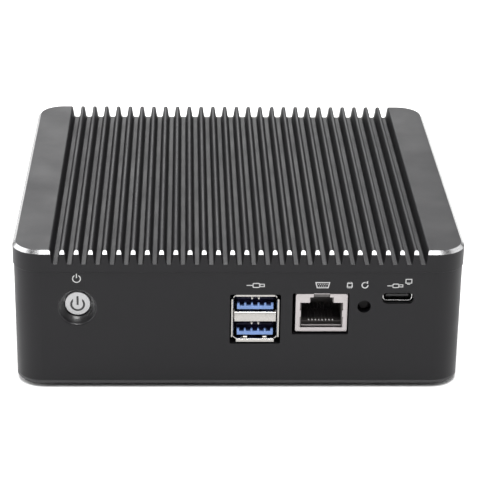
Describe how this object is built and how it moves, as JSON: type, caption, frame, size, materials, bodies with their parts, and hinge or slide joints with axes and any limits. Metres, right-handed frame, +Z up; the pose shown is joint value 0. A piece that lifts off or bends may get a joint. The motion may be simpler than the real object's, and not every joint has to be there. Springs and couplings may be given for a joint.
{
  "type": "fanless mini pc",
  "caption": "Small black fanless mini PC with a finned aluminium lid, a recessed silver power button, USB, serial and reset in front, and network, video and power sockets at the rear.",
  "frame": {"origin": "middle of the footprint, on the plane that the rubber feet stand on", "axes": "+X to the right seen from the front, +Y from the front to the rear, +Z up"},
  "size_m": [0.134, 0.126, 0.0448],
  "materials": {
    "anodised_black": "black anodised, satin",
    "coated_steel": "black powder coat, satin",
    "black_steel": "black oxide",
    "foot_rubber": "moulded, matt",
    "zinc_steel": "zinc plated",
    "button_silver": "bead blasted, clear anodised",
    "black_plastic": "moulded nylon, satin",
    "nickel_shell": "nickel plated sheet",
    "blue_plastic": "moulded nylon, satin",
    "gold_contacts": "gold plated",
    "lamp_lens": "translucent lens",
    "brass_pin": "turned",
    "board_laminate": "solder mask, semi gloss",
    "silicon": "polished die",
    "copper_plate": "milled copper",
    "pad_silicone": "soft silicone",
    "chip_plastic": "moulded epoxy, matt",
    "can_aluminium": "drawn can"
  },
  "bodies": {
    "case": {"heatsink_lid": "anodised_black", "main_housing": "anodised_black", "bottom_cover": "coated_steel", "bottom_cover_screws": "black_steel", "rubber_feet": "foot_rubber", "lid_screws": "zinc_steel", "power_switch_body": "black_plastic", "reset_switch_body": "black_plastic", "usb3_shell": "nickel_shell", "usb3_insulator": "blue_plastic", "usb3_contacts": "gold_contacts", "serial_jack_shield": "nickel_shell", "serial_jack_insert": "black_plastic", "serial_jack_contacts": "gold_contacts", "usb_c_shell": "nickel_shell", "usb_c_tongue": "black_plastic", "lan_jack_shields": "nickel_shell", "lan_jack_insert_1": "black_plastic", "lan_jack_insert_2": "black_plastic", "lan_jack_insert_3": "black_plastic", "lan_jack_insert_4": "black_plastic", "lan_jack_contacts": "gold_contacts", "lan_jack_lamps": "lamp_lens", "usb2_shell": "nickel_shell", "usb2_insulator": "black_plastic", "usb2_contacts": "gold_contacts", "hdmi_shell": "nickel_shell", "hdmi_tongue": "black_plastic", "displayport_shell": "nickel_shell", "displayport_tongue": "black_plastic", "video_connector_body": "black_plastic", "dc_jack_body": "black_plastic", "dc_jack_pin": "brass_pin", "motherboard": "board_laminate", "board_standoffs": "brass_pin", "board_screws": "zinc_steel", "processor_substrate": "board_laminate", "processor_die": "silicon", "heat_spreader": "copper_plate", "thermal_pad": "pad_silicone", "heat_spreader_screws": "zinc_steel", "lan_controllers": "chip_plastic", "power_inductors": "chip_plastic", "capacitors": "can_aluminium", "memory_socket": "black_plastic", "memory_module": "board_laminate", "memory_chips": "chip_plastic", "ssd_socket": "black_plastic", "ssd_board": "board_laminate", "ssd_chips": "chip_plastic", "ssd_standoff": "brass_pin", "ssd_screw": "zinc_steel", "coin_cell_holder": "black_plastic", "coin_cell": "zinc_steel"},
    "power_button": {"power_button": "button_silver", "power_switch_plunger": "black_plastic"},
    "reset_button": {"reset_button": "black_plastic"}
  },
  "joints": [
    {"name": "power_button_press", "type": "slide", "parent": "case", "child": "power_button", "axis": [0, 1, 0], "range_m": [0, 0.0005], "stiffness_N_per_m": 1500, "springref_m": -0.0005},
    {"name": "reset_button_press", "type": "slide", "parent": "case", "child": "reset_button", "axis": [0, 1, 0], "range_m": [0, 0.00025], "stiffness_N_per_m": 3000, "springref_m": -0.0002}
  ]
}
